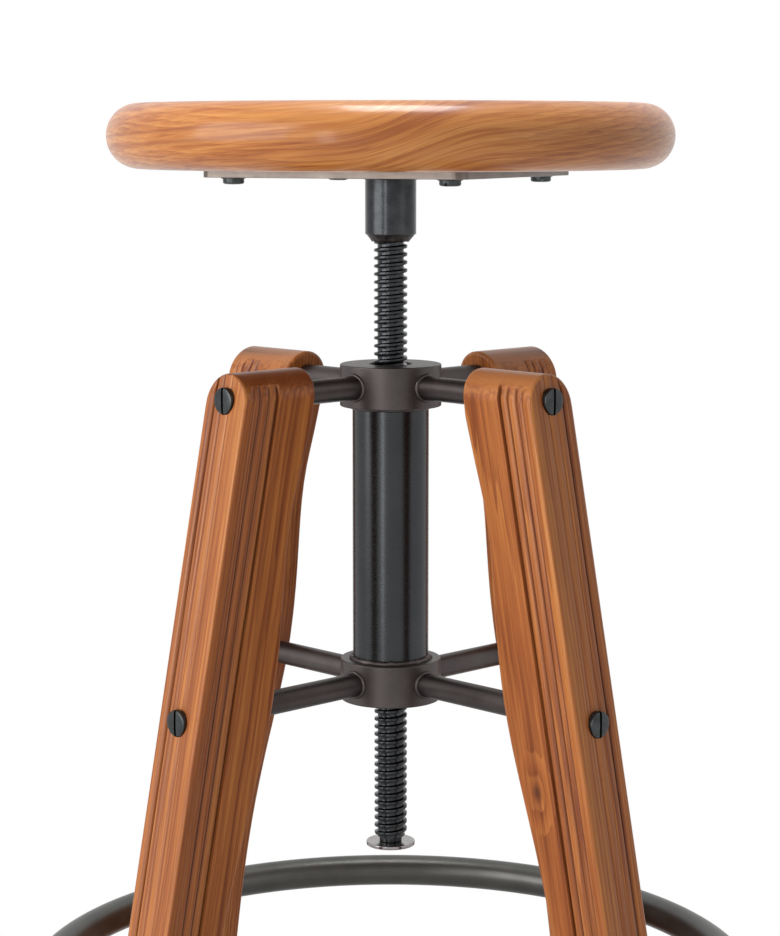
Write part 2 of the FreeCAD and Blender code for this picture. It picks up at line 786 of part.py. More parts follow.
def build():
    """All the pieces, by the name of their node."""
    pieces = {}
    pieces["seat"] = make_seat()
    pieces["seat_plate"] = make_plate()
    pieces["plate_screws"] = make_plate_screws()
    pieces["plate_washers"] = make_plate_washers()
    sleeve_outside, pieces["seat_sleeve"] = make_sleeve()
    pieces["sleeve_welds"] = make_sleeve_welds(pieces["seat_plate"], sleeve_outside)
    pieces["lift_screw"] = make_spindle()
    pieces["stop_washer"] = make_stop_washer()
    pieces["washer_screw"] = make_washer_screw()
    pieces["upper_collar"] = make_upper_collar()
    pieces["lift_nut"] = make_lift_nut()
    pieces["lower_collar"] = make_lower_collar()
    pieces["guide_bush"] = make_guide_bush()
    tube_outside, pieces["centre_tube"] = make_tube()
    pieces["tube_welds"] = make_tube_welds(tube_outside)
    levels = (("upper", upper_arm_height, collar_bottom), ("lower", lower_arm_height, lower_collar_bottom))
    for level, height, collar_low in levels:
        bar, arms = make_arms(level, height)
        for where, arm in zip(CORNERS, arms):
            pieces["%s_arm_%s" % (level, where)] = arm
        pieces[level + "_arm_welds"] = make_arm_welds(level, height, bar, collar_low)
        pieces[level + "_leg_screws"] = make_leg_screws(level, height)
    for where, leg in zip(CORNERS, make_legs()):
        pieces["leg_" + where] = leg
    pieces["foot_ring"] = make_foot_ring()
    pieces["ring_screws"] = make_ring_screws()
    for where, glide in zip(CORNERS, make_glides()):
        pieces["glide_" + where] = glide
    return pieces


pieces = build()
doc.recompute()

broken = [thing.Name for thing in doc.Objects if "Invalid" in thing.State or "Error" in thing.State]
if broken:
    raise RuntimeError("objects that failed: " + ", ".join(broken))
idle = [thing.Name for thing in doc.Objects
        if thing.isDerivedFrom("Part::Cut") and thing.Shape.Volume > thing.Base.Shape.Volume - 0.01]
if idle:
    raise RuntimeError("cuts that took nothing away: " + ", ".join(idle))
for node, piece in pieces.items():
    piece.Label = node
    if piece.Shape.isNull() or not piece.Shape.isValid() or not piece.Shape.Solids:
        raise RuntimeError("no valid solid in " + node)

os.makedirs("parts", exist_ok=True)
for node, piece in pieces.items():
    piece.Shape.exportStep("parts/%s.step" % node)
    solids = piece.Shape.Solids
    print("%-26s %2d solid(s) %12.1f mm3" % (node, len(solids), piece.Shape.Volume))
print("seat top %.1f, stop washer %.1f to %.1f" % (seat_top, washer_bottom, washer_top))
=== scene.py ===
# %% [markdown]
# # A screw-lift stool
# The stool has a round wooden seat on a threaded steel spindle, a short steel column, eight round
# arms and four reeded wooden legs joined by a foot ring. The CAD model gives every size and place.
# Here each piece gets its finer shape and its finish, and rides on the CAD body it belongs to.

import math

import bmesh
import bpy
from mathutils import Euler, Matrix, Vector, noise


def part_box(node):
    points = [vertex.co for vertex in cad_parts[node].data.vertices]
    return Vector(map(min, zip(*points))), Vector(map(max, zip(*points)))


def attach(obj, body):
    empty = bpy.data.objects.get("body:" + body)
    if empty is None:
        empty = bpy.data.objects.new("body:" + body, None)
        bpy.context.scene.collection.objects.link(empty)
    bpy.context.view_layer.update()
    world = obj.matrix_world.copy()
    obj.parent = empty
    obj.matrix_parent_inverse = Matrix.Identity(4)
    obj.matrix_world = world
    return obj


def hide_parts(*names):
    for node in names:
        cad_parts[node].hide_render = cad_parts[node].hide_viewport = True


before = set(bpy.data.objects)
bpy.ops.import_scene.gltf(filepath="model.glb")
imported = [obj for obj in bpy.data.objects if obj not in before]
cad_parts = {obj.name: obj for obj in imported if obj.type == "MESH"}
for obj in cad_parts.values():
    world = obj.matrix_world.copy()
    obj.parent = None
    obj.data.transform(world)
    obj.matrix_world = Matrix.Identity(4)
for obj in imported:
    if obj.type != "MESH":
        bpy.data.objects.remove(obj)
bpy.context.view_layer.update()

# %% [markdown]
# ## Working units and small helpers
# Drawings of a stool are in millimetres and Blender works in metres, so one factor turns one into
# the other. Heights are read from the CAD boxes, so a piece stays in place if the CAD changes. The
# legs stand at four corners, given as angles round the axis, and lean out by their splay.

# %% Units and heights
MM = 0.001
FULL_TURN = 2 * math.pi
CORNERS = {"front_right": -45, "back_right": 45, "back_left": 135, "front_left": 225}
SPLAY = 11.62


def low(node):
    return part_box(node)[0].z / MM


def high(node):
    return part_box(node)[1].z / MM


def across(node):
    """Width of a CAD node along X, in millimetres."""
    return (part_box(node)[1].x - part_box(node)[0].x) / MM


print("seat top %.1f mm, ring top %.1f mm" % (high("seat"), high("foot_ring")))

# %% [markdown]
# ## The camera
# The picture was taken from a metre and a half away with a long lens, level with the seat and
# looking a little down. The camera was solved from the picture's own edges.

# %% Place the camera
camera = bpy.data.objects.new("camera", bpy.data.cameras.new("camera"))
bpy.context.scene.collection.objects.link(camera)
camera.data.sensor_width = 36
camera.data.lens = 93.07
camera.location = (0.0222, -1.5182, 0.7438)
camera.rotation_euler = Euler((math.radians(82.116), 0, math.radians(0.854)))
bpy.context.scene.camera = camera
bpy.context.scene.view_settings.view_transform = "Standard"
print("lens", camera.data.lens, "mm")

# %% [markdown]
# ## Writing materials
# Colours are picked as sRGB hex values, as a paint chart gives them, and shaders want linear
# light. One function converts them, and one more adds a node, its settings and its links.


# %% Colour and node helpers
def linear(code):
    """A hex colour as linear RGBA."""
    channels = [int(code[i:i + 2], 16) / 255 for i in (1, 3, 5)]
    return [c / 12.92 if c <= 0.04045 else ((c + 0.055) / 1.055) ** 2.4 for c in channels] + [1]


def add(tree, kind, inputs=None, **settings):
    """Adds a node. Inputs are numbers or colours, or another node's output to link."""
    made = tree.nodes.new("ShaderNode" + kind)
    for name, value in settings.items():
        setattr(made, name, value)
    for name, value in (inputs or {}).items():
        if isinstance(value, bpy.types.NodeSocket):
            tree.links.new(value, made.inputs[name])
        else:
            made.inputs[name].default_value = value
    return made


def material(name):
    """A new material with its shader still bare, and its node tree."""
    made = bpy.data.materials.new(name)
    made.use_nodes = True
    tree = made.node_tree
    return made, tree, tree.nodes["Principled BSDF"]


def ramp(tree, factor, *stops):
    """Colours along a value, as (place, hex) pairs."""
    made = add(tree, "ValToRGB", {"Fac": factor})
    band = made.color_ramp
    while len(band.elements) < len(stops):
        band.elements.new(0.5)
    for element, (place, code) in zip(band.elements, stops):
        element.position = place
        element.color = linear(code)
    return made.outputs["Color"]


def mixed(tree, factor, first, second, blend="MIX"):
    made = add(tree, "Mix", {0: factor, 6: first, 7: second}, data_type="RGBA", blend_type=blend)
    return made.outputs[2]


def sums(tree, operation, first, second=0.0):
    return add(tree, "Math", {0: first, 1: second}, operation=operation).outputs[0]


def ranged(tree, value, low_in, high_in, low_out, high_out):
    return add(tree, "MapRange", {"Value": value, "From Min": low_in, "From Max": high_in,
                                  "To Min": low_out, "To Max": high_out}).outputs[0]


def placed(tree, vector, scale=(1, 1, 1), turn=(0, 0, 0), shift=(0, 0, 0)):
    """Scales, then turns by degrees, then shifts a coordinate."""
    return add(tree, "Mapping", {"Vector": vector, "Scale": scale, "Location": shift,
                                 "Rotation": [math.radians(t) for t in turn]}).outputs[0]


def speckle(tree, vector, scale, detail=2.0, roughness=0.5):
    """Noise at a number of cells per unit of the coordinate."""
    return add(tree, "TexNoise", {"Vector": vector, "Scale": scale, "Detail": detail,
                                  "Roughness": roughness}).outputs["Fac"]


# %% [markdown]
# ## Floor, backdrop and lamps
# The picture has a white sweep behind the stool. The floor is pale and keeps the soft shadow near
# the feet, and further out it fades to white for the camera and for mirrored rays only, so no extra
# light falls on the stool. A large lamp at the left lights the wood across its reeds. One right
# overhead draws the highlight along the top of the seat's rim, a narrow upright strip left of the
# camera draws the line down the column, and a weak one on the right opens the shadows.

# %% Stage and light
AMBIENT = 0.28
FADE_FROM, FADE_TO = 0.3, 0.62
world = bpy.data.worlds.new("white sweep")
world.use_nodes = True
bpy.context.scene.world = world
sky = world.node_tree
path = add(sky, "LightPath")
seen = sums(sky, "MAXIMUM", path.outputs["Is Camera Ray"],
            sums(sky, "MAXIMUM", path.outputs["Is Glossy Ray"], path.outputs["Is Transmission Ray"]))
sky.links.new(ranged(sky, seen, 0, 1, AMBIENT, 1), sky.nodes["Background"].inputs["Strength"])
sky.nodes["Background"].inputs["Color"].default_value = (1, 1, 1, 1)

floor_paint, tree, shader = material("pale floor")
ground = add(tree, "TexCoord").outputs["Object"]
distance = add(tree, "VectorMath", {0: ground}, operation="LENGTH").outputs["Value"]
path = add(tree, "LightPath")
fading = ranged(tree, distance, FADE_FROM, FADE_TO, 0.3, 1)
unlit = sums(tree, "MULTIPLY", fading,
             sums(tree, "MAXIMUM", path.outputs["Is Camera Ray"], path.outputs["Is Glossy Ray"]))
shader.inputs["Base Color"].default_value = linear("#ecebe9")
shader.inputs["Roughness"].default_value = 0.7
white = add(tree, "Emission", {"Color": (1, 1, 1, 1), "Strength": 1.0})
blend = add(tree, "MixShader", {0: unlit, 1: shader.outputs[0], 2: white.outputs[0]})
tree.links.new(blend.outputs[0], tree.nodes["Material Output"].inputs["Surface"])

sweep = bmesh.new()
bmesh.ops.create_circle(sweep, cap_ends=True, segments=64, radius=6)
sweep_mesh = bpy.data.meshes.new("floor")
sweep.to_mesh(sweep_mesh)
sweep.free()
floor = bpy.data.objects.new("floor", sweep_mesh)
floor.data.materials.append(floor_paint)
bpy.context.scene.collection.objects.link(floor)


def lamp(name, place, aim, power, width, height):
    """A soft rectangular lamp turned to a point."""
    light = bpy.data.lights.new(name, "AREA")
    light.shape = "RECTANGLE"
    light.size = width
    light.size_y = height
    light.energy = power
    made = bpy.data.objects.new(name, light)
    made.location = place
    made.rotation_euler = (Vector(aim) - Vector(place)).to_track_quat("-Z", "Y").to_euler()
    bpy.context.scene.collection.objects.link(made)


lamp("key", (-2.1, -1.25, 1.25), (0, 0, 0.5), 50, 1.9, 2.2)
lamp("overhead", (0.04, 0.02, 1.75), (0.04, -0.1, 0.7), 10, 0.42, 0.5)
lamp("upright strip", (-0.78, -1.84, 0.6), (0, 0, 0.55), 5, 0.22, 1.3)
lamp("fill", (1.9, -1.2, 0.8), (0, 0, 0.4), 1.5, 1.0, 1.2)

# %% [markdown]
# ## Wood
# Both woods are cut from solid boards, so their figure is worked out in three dimensions: growth
# rings are cylinders round a pith line outside the board, bent a little by slow noise, and every
# face then shows the cut that a saw would. Fine fibres run along the grain. Sizes are in
# millimetres, because the coordinate is scaled to them first.


# %% Bending the figure
def length(tree, vector):
    return add(tree, "VectorMath", {0: vector}, operation="LENGTH").outputs["Value"]


def swept(tree, point, from_end, to_end, drop):
    """Lowers the lines of the figure towards one end of the board."""
    parts = add(tree, "SeparateXYZ", {0: point})
    lift = add(tree, "MapRange", {"Value": parts.outputs["Z"], "From Min": from_end, "From Max": to_end,
                                  "To Min": drop, "To Max": 0}, interpolation_type="SMOOTHSTEP").outputs[0]
    across_x = sums(tree, "ADD", parts.outputs["X"], lift)
    return add(tree, "CombineXYZ", {"X": across_x, "Y": parts.outputs["Y"],
                                    "Z": parts.outputs["Z"]}).outputs[0]


def bent(tree, point, amount):
    """Pushes a coordinate to and fro by slow noise, as a trunk's own bends do."""
    slow = placed(tree, point, scale=(0.011, 0.011, 0.0035))
    drift = add(tree, "TexNoise", {"Vector": slow, "Scale": 1.0, "Detail": 2.0}).outputs["Color"]
    push = add(tree, "VectorMath", {0: drift, 1: (-0.5, -0.5, -0.5)}, operation="ADD").outputs[0]
    push = add(tree, "VectorMath", {0: push, "Scale": amount}, operation="SCALE").outputs[0]
    return add(tree, "VectorMath", {0: point, 1: push}, operation="ADD").outputs[0]


def fibrous(tree, point, scale, detail=3.0, roughness=0.5):
    """Noise drawn out along the grain, at cells per millimetre along each axis."""
    return speckle(tree, placed(tree, point, scale=scale), 1.0, detail, roughness)


# %% Growth rings and plain streaks
def ringed(tree, radius, ring_width, colours):
    """Growth rings: each pales slowly through early wood and ends in a dark late line."""
    early, middle, late = colours
    ring = sums(tree, "FRACT", sums(tree, "DIVIDE", radius, ring_width))
    return ramp(tree, ring, (0.0, early), (0.5, middle), (0.82, late), (0.93, late), (1.0, early))


def streaked(tree, point, fine, colours):
    """Plain wood: broad bands of tone with fine lines over them."""
    early, middle, late = colours
    broad = fibrous(tree, point, (0.1, 0.1, 0.0016), roughness=0.6)
    thin = fibrous(tree, point, (*fine, 0.007), roughness=0.6)
    tone = sums(tree, "ADD", sums(tree, "MULTIPLY", broad, 0.55), sums(tree, "MULTIPLY", thin, 0.45))
    return ramp(tree, tone, (0.38, late), (0.49, middle), (0.6, early))


def vein(tree, point, warped, place, width, from_end, to_end):
    """How strongly one dark vein shows: at a place across the board, growing along its length."""
    off = add(tree, "SeparateXYZ", {0: warped}).outputs["X"]
    off = sums(tree, "ABSOLUTE", sums(tree, "SUBTRACT", off, place))
    along = add(tree, "SeparateXYZ", {0: point}).outputs["Z"]
    return sums(tree, "MULTIPLY", ranged(tree, off, 0, width, 0.75, 0),
                ranged(tree, along, from_end, to_end, 0, 1))


# %% [markdown]
# A whole board mixes rings and plain streaks, then takes a stain in its fibres. What is particular
# to a board comes last: a painted tone on faces that look up, for the light and shade they get,
# dark veins, knots, and painted shade in the grooves.


# %% The figure of a board
def timber(name, to_board, pith, ring_width, colours, stain, bend_by, rings, fine=(0.3, 0.8), layered=1,
           sweep=None, veins=(), painted_top=None, groove=None, knots=()):
    """Lacquered wood. to_board turns the object's coordinate so that the grain runs along Z."""
    made, tree, shader = material(name)
    point = add(tree, "TexCoord").outputs["Object"]
    for step in to_board:
        point = placed(tree, point, **step)
    if sweep:
        point = swept(tree, point, *sweep)
    warped = bent(tree, point, bend_by)
    thinned = placed(tree, point, scale=(1, layered, 1))

    radius = length(tree, placed(tree, warped, scale=(1, 1, 0), shift=(-pith[0], -pith[1], 0)))
    jitter = fibrous(tree, thinned, (0.22, 0.22, 0.006))
    radius = sums(tree, "ADD", radius, ranged(tree, jitter, 0, 1, -0.8 * ring_width, 0.8 * ring_width))
    hearts = []
    for x, y, z in knots:
        away = length(tree, placed(tree, point, scale=(1, 1, 0.6), shift=(-x, -y, -0.6 * z)))
        radius = sums(tree, "ADD", radius, ranged(tree, away, 0, 16, 5, 0))
        hearts.append(ranged(tree, away, 1.0, 4.5, 0.75, 0))

    patchy = fibrous(tree, thinned, (0.12, 0.12, 0.003), detail=2.0)
    toned = mixed(tree, ranged(tree, patchy, 0.35, 0.65, 0.1, rings),
                  streaked(tree, thinned, fine, colours), ringed(tree, radius, ring_width, colours))
    fibre = fibrous(tree, thinned, (1.5, 1.5, 0.03), roughness=0.65)
    toned = mixed(tree, ranged(tree, fibre, 0.4, 0.75, 0.0, 0.45), toned, linear(stain), "MULTIPLY")
    # Painted light and shade on the tops: faces that look up are drawn towards a given top tone.
    if painted_top:
        upward = add(tree, "SeparateXYZ", {0: add(tree, "TexCoord").outputs["Normal"]}).outputs["Z"]
        toned = mixed(tree, ranged(tree, upward, 0.25, 0.75, 0.0, 0.8), toned, linear(painted_top))
    for course in veins:
        toned = mixed(tree, vein(tree, point, warped, *course), toned, linear(colours[-1]))
    for heart in hearts:
        toned = mixed(tree, heart, toned, linear("#4a2210"))
    # Painted shade: the grooves are darkened by their depth.
    if groove:
        depth = add(tree, "Attribute", attribute_name="groove").outputs["Fac"]
        toned = mixed(tree, sums(tree, "MULTIPLY", depth, 0.75), toned, linear(groove))

    tree.links.new(toned, shader.inputs["Base Color"])
    tree.links.new(ranged(tree, fibre, 0.3, 0.7, 0.30, 0.42), shader.inputs["Roughness"])
    shader.inputs["Specular IOR Level"].default_value = 0.25
    bump = add(tree, "Bump", {"Height": fibre, "Strength": 0.25, "Distance": 0.00012})
    tree.links.new(bump.outputs[0], shader.inputs["Normal"])
    return made, shader


# %% [markdown]
# The seat is a honey-coloured hardwood, planed smooth under a glossy lacquer. Its grain runs from
# left to right and rises a little, so the coordinate is turned until that direction is Z. Its
# fibres lie in wide flat layers, and two dark veins cross the front of the rim.

# %% Seat wood
TO_MM = 1 / MM
GRAIN_TURN = 94
seat_wood, shader = timber(
    "lacquered hardwood",
    [dict(scale=(TO_MM, TO_MM, TO_MM)), dict(turn=(0, GRAIN_TURN, 0))],
    pith=(-800, 95), ring_width=3.6, bend_by=6.0, rings=0.4, fine=(0.5, 0.5), layered=0.08,
    sweep=(-112, -22, -19), veins=[(745.5, 2.6, -4, 12), (752.5, 1.6, -20, 30)],
    colours=("#d2914f", "#bf7738", "#985226"), stain="#b9825c")
shader.inputs["Coat Weight"].default_value = 0.32
shader.inputs["Coat Roughness"].default_value = 0.14

# %% [markdown]
# The legs are old pine under a red-brown stain and satin lacquer. Each is its own board, so each
# has its own shift through the figure, and all lean with the splay of the legs. Faces that look up
# take a painted tone for the light they get: painted shadow on the front left leg's top, painted
# light on the other tops. The front right leg has a knot low on its side. Painted shade darkens
# the moulded grooves by their depth, which each mesh carries as an attribute called groove.

# %% Leg wood
# Top tones: the paler one is painted light on most legs' tops, the darker one painted shadow on the front
# left leg's top.
LIT_TOP, SHADED_TOP = "#c48250", "#8a4a22"
KNOTS = {"front_right": [(212.5, -18.3, 317.7)]}
leg_wood = {}
for number, (where, angle) in enumerate(CORNERS.items()):
    leg_wood[where], shader = timber(
        "stained pine " + where,
        [dict(scale=(TO_MM, TO_MM, TO_MM), turn=(0, 0, -angle)),
         dict(turn=(0, SPLAY, 0), shift=(0, 0, 900 * number))],
        pith=(215 - 22 * number, 150 - 14 * number), ring_width=2.8, bend_by=12.0, rings=0.5,
        colours=("#cb8442", "#ae6530", "#7c3d1a"), stain="#a86c42",
        painted_top=SHADED_TOP if where == "front_left" else LIT_TOP,
        # The groove colour is painted shade.
        groove="#3f190a", knots=KNOTS.get(where, ()))
    shader.inputs["Coat Weight"].default_value = 0.16
    shader.inputs["Coat Roughness"].default_value = 0.3

# %% [markdown]
# ## Steel
# All the dark metal is mild steel under different skins: a brown-grey satin lacquer on the collars
# and arms, a smoother blue-grey one on the tube, a dark grey one on the ring, and an oily blackening
# on the spindle and screws. The plate is left as it came from the mill, and the stop washer is bare.
# Metals keep the default IOR, and their colour is what they reflect.


# %% Metal finishes
def steel(name, dark, light, roughness, patch, streaks=None, bump=0.0):
    """Metal with slow patches in its tone and fine grit. The bump is in millimetres."""
    made, tree, shader = material(name)
    point = placed(tree, add(tree, "TexCoord").outputs["Object"], scale=(TO_MM, TO_MM, TO_MM))
    cloud = speckle(tree, point, patch, 3.0, 0.6)
    grit = speckle(tree, point, 1.6, 2.0)
    if streaks:
        grit = speckle(tree, placed(tree, point, scale=streaks), 1.0, 3.0, 0.6)
    tone = sums(tree, "ADD", sums(tree, "MULTIPLY", cloud, 0.7), sums(tree, "MULTIPLY", grit, 0.3))
    tree.links.new(ramp(tree, tone, (0.3, dark), (0.7, light)), shader.inputs["Base Color"])
    tree.links.new(ranged(tree, grit, 0.3, 0.7, roughness - 0.05, roughness + 0.07),
                   shader.inputs["Roughness"])
    if bump:
        lumps = add(tree, "Bump", {"Height": grit, "Strength": 0.4, "Distance": bump * MM})
        tree.links.new(lumps.outputs[0], shader.inputs["Normal"])
    shader.inputs["Metallic"].default_value = 1.0
    return made


column_lacquer = steel("satin lacquered steel", "#484342", "#585251", 0.42, patch=0.04, bump=0.02)
tube_lacquer = steel("smooth blue-grey tube", "#38393b", "#434446", 0.25, patch=0.02)
ring_lacquer = steel("dark grey lacquered tube", "#4e4e4c", "#5f5f5c", 0.36, patch=0.03, bump=0.02)
blackened = steel("blackened turned steel", "#303133", "#434547", 0.24, patch=0.12)
screw_black = steel("blackened screw steel", "#333535", "#4c4f50", 0.33, patch=0.2, bump=0.01)
mill_plate = steel("mill finish plate", "#665d57", "#7d746d", 0.34, patch=0.06,
                   streaks=(0.05, 0.05, 1.2), bump=0.02)
bare_disc = steel("oiled bare steel", "#858180", "#a09c9b", 0.14, patch=0.15)
weld_metal = steel("rough weld bead", "#2b2827", "#4e4947", 0.45, patch=0.3, bump=0.08)
brass = steel("dull turned brass", "#7a6335", "#97804c", 0.4, patch=0.1, bump=0.01)

# %% [markdown]
# The glides are moulded nylon: black, faintly grained by the mould, and dull.

# %% Nylon
nylon, tree, shader = material("moulded black nylon")
point = placed(tree, add(tree, "TexCoord").outputs["Object"], scale=(TO_MM, TO_MM, TO_MM))
grain = speckle(tree, point, 2.2, 2.0)
tree.links.new(ramp(tree, grain, (0.3, "#151515"), (0.7, "#232323")), shader.inputs["Base Color"])
bump = add(tree, "Bump", {"Height": grain, "Strength": 0.3, "Distance": 0.00005})
tree.links.new(bump.outputs[0], shader.inputs["Normal"])
shader.inputs["Roughness"].default_value = 0.5
shader.inputs["IOR"].default_value = 1.53

# %% [markdown]
# ## From drawing to piece
# A turned piece is an outline swept round the Z axis, as on a lathe. Its sharp rims get a small
# round afterwards, because a real edge always catches a line of light.


# %% Drawing and turning
SHARP_TURN = 35


def wire(bm, outline):
    """An outline of (radius, height) pairs as a chain of edges over the X axis."""
    corners = [bm.verts.new((r * MM, 0, z * MM)) for r, z in outline]
    return corners + [bm.edges.new(pair) for pair in zip(corners, corners[1:])]


def tidy(bm):
    bmesh.ops.remove_doubles(bm, verts=bm.verts, dist=2e-6)
    bmesh.ops.recalc_face_normals(bm, faces=bm.faces)
    return bm


def lathe(outline, steps=96):
    """A turned shape. An outline that ends where it began makes a ring."""
    bm = bmesh.new()
    bmesh.ops.spin(bm, geom=wire(bm, outline), cent=(0, 0, 0), axis=(0, 0, 1), angle=FULL_TURN,
                   steps=steps, use_merge=True)
    return tidy(bm)


def soften(bm, width, segments=2):
    """Rounds the edges that turn sharply."""
    edges = [e for e in bm.edges if e.is_manifold and e.calc_face_angle() > math.radians(SHARP_TURN)]
    bmesh.ops.bevel(bm, geom=edges, offset=width * MM, offset_type="OFFSET", segments=segments,
                    profile=0.5, affect="EDGES", material=-1, clamp_overlap=True)
    return bm


def moved(bm, shift=(0, 0, 0), turn=0.0, axis="Z"):
    """Turns by degrees about an axis through the origin, then shifts by millimetres."""
    turned = Matrix.Rotation(math.radians(turn), 3, axis)
    bmesh.ops.rotate(bm, verts=bm.verts, cent=(0, 0, 0), matrix=turned)
    bmesh.ops.translate(bm, verts=bm.verts, vec=Vector(shift) * MM)
    return bm


def joined(*parts):
    """Several meshes as one."""
    whole = bmesh.new()
    for bm in parts:
        loose = bpy.data.meshes.new("loose")
        bm.to_mesh(loose)
        bm.free()
        whole.from_mesh(loose)
        bpy.data.meshes.remove(loose)
    return whole


def at_corners(bm):
    """A shape drawn along +X, repeated at the four legs."""
    copies = [moved(bm.copy(), turn=angle) for angle in CORNERS.values()]
    bm.free()
    return joined(*copies)


# %% [markdown]
# A finished mesh becomes an object that rides on its CAD body and stands in for the plainer CAD
# nodes. Slots and screw seats are cut beforehand, with the cutters as throwaway objects.


# %% Making and cutting pieces
def piece(bm, name, body, slot, finish, *nodes, crisp=SHARP_TURN):
    """Makes the object: its finish, its body, and the CAD nodes that it stands for."""
    mesh = bpy.data.meshes.new(name)
    bm.to_mesh(mesh)
    bm.free()
    mesh.shade_smooth()
    mesh.set_sharp_from_angle(angle=math.radians(crisp))
    mesh.materials.append(finish)
    made = bpy.data.objects.new(name, mesh)
    bpy.context.scene.collection.objects.link(made)
    steady = made.modifiers.new("even shading", "WEIGHTED_NORMAL")
    steady.keep_sharp = True
    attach(made, body)
    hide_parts(*nodes)
    mesh.calc_loop_triangles()
    print("%-26s %6d triangles" % (name, len(mesh.loop_triangles)))


def carved(bm, *cutters):
    """The shape with each cutter taken out, by exact Boolean modifiers."""
    stock = bpy.data.objects.new("stock", bpy.data.meshes.new("stock"))
    bm.to_mesh(stock.data)
    bm.free()
    bpy.context.scene.collection.objects.link(stock)
    tools = []
    for cutter in cutters:
        tool = bpy.data.objects.new("tool", bpy.data.meshes.new("tool"))
        cutter.to_mesh(tool.data)
        cutter.free()
        bpy.context.scene.collection.objects.link(tool)
        cut = stock.modifiers.new("cut", "BOOLEAN")
        cut.operation = "DIFFERENCE"
        cut.solver = "EXACT"
        cut.object = tool
        tools.append(tool)
    made = bmesh.new()
    made.from_object(stock, bpy.context.evaluated_depsgraph_get())
    for used in [stock] + tools:
        mesh = used.data
        bpy.data.objects.remove(used)
        bpy.data.meshes.remove(mesh)
    return made


def rod(radius, start, end):
    """A plain cylinder along +X, for cutting."""
    bm = bmesh.new()
    bmesh.ops.create_cone(bm, cap_ends=True, segments=48, radius1=radius * MM, radius2=radius * MM,
                          depth=(end - start) * MM)
    return moved(moved(bm, turn=90, axis="Y"), shift=((start + end) / 2, 0, 0))


# %% [markdown]
# ## The seat
# The seat is one thick board with a full half-round rim. A single vertex spun through half a turn
# draws the rim, rings of vertices carry the flat faces in to the middle, and the whole outline is
# then spun round.

# %% Turn the seat
FLAT_RINGS = (100, 40, 0)
seat_bottom, seat_top = low("seat"), high("seat")
seat_radius = across("seat") / 2
rim = (seat_top - seat_bottom) / 2
shape = bmesh.new()
start = shape.verts.new(((seat_radius - rim) * MM, 0, seat_bottom * MM))
bmesh.ops.spin(shape, geom=[start], cent=((seat_radius - rim) * MM, 0, (seat_bottom + rim) * MM),
               axis=(0, -1, 0), angle=math.pi, steps=24)
shape.verts.ensure_lookup_table()
for edge_point, height in ((shape.verts[0], seat_bottom), (shape.verts[-1], seat_top)):
    last = edge_point
    for radius in FLAT_RINGS:
        inward = shape.verts.new((radius * MM, 0, height * MM))
        shape.edges.new((last, inward))
        last = inward
bmesh.ops.spin(shape, geom=shape.verts[:] + shape.edges[:], cent=(0, 0, 0), axis=(0, 0, 1),
               angle=FULL_TURN, steps=180, use_merge=True)
piece(tidy(shape), "seat_board", "seat", "seat_wood", seat_wood, "seat", crisp=60)

# %% [markdown]
# ## Plate, screws and sleeve
# A square plate of mill steel sits under the seat, turned by the screw to where it stopped when
# the picture was taken. Four pan-head screws with tooth washers hold it, and the sleeve that grips
# the spindle is welded to its middle.

# %% Plate
SEAT_TURN = -24.2
PLATE = 175
PLATE_CORNER = 8
HOLE_PLACE = 72
plate_bottom, plate_top = low("seat_plate"), high("seat_plate")
shape = bmesh.new()
bmesh.ops.create_cube(shape, size=1)
bmesh.ops.scale(shape, verts=shape.verts, vec=(PLATE * MM, PLATE * MM, (plate_top - plate_bottom) * MM))
uprights = [e for e in shape.edges if abs(e.verts[0].co.z - e.verts[1].co.z) > MM]
bmesh.ops.bevel(shape, geom=uprights, offset=PLATE_CORNER * MM, offset_type="OFFSET", segments=8,
                profile=0.5, affect="EDGES", material=-1)
soften(shape, 0.4)
moved(shape, turn=SEAT_TURN, shift=(0, 0, (plate_bottom + plate_top) / 2))
piece(shape, "mounting_plate", "seat", "plate_steel", mill_plate, "seat_plate")

# %% [markdown]
# Screws share one recipe: a turned, crowned head and a plain shank, with the slot cut across the
# head. Each is drawn head down with its shank along +Z.


# %% Slotted screws
SLOT_WIDTH = 1.8


def screw(head, height, shank, reach, crown=0.9, slot_depth=1.8):
    """A slotted screw whose head bears at z = 0."""
    shape = lathe([(0, -height - 0.25 * crown), (0.3 * head, -height - 0.15 * crown),
                   (head / 2 - crown, -height), (head / 2 - 0.3 * crown, -height + 0.3 * crown),
                   (head / 2, -height + crown), (head / 2, 0),
                   (shank / 2, 0), (shank / 2, reach), (0, reach)], steps=56)
    slot = bmesh.new()
    bmesh.ops.create_cube(slot, size=1)
    bmesh.ops.scale(slot, verts=slot.verts, vec=(SLOT_WIDTH * MM, (head + 4) * MM, 2 * slot_depth * MM))
    bmesh.ops.translate(slot, verts=slot.verts, vec=(0, 0, -height * MM))
    return carved(shape, slot)


under_washer = low("plate_washers")
heads = []
washers = []
for number, (right, back) in enumerate([(1, -1), (1, 1), (-1, 1), (-1, -1)]):
    hole = Vector((right * HOLE_PLACE, back * HOLE_PLACE, 0))
    place = Matrix.Rotation(math.radians(SEAT_TURN), 3, "Z") @ hole
    one = screw(13, 3.2, 6, 12, crown=1.2)
    heads.append(moved(one, turn=SEAT_TURN + 35 * number, shift=(place.x, place.y, under_washer)))
    ring = lathe([(3.3, 0), (7.3, 0), (7.5, 0.2), (7.5, 0.6), (7.3, 0.8), (3.3, 0.8), (3.3, 0)], steps=36)
    washers.append(moved(ring, shift=(place.x, place.y, under_washer)))
piece(joined(*heads), "plate_pan_heads", "seat", "fastener_steel", screw_black, "plate_screws")
piece(joined(*washers), "plate_tooth_washers", "seat", "fastener_steel", screw_black, "plate_washers")

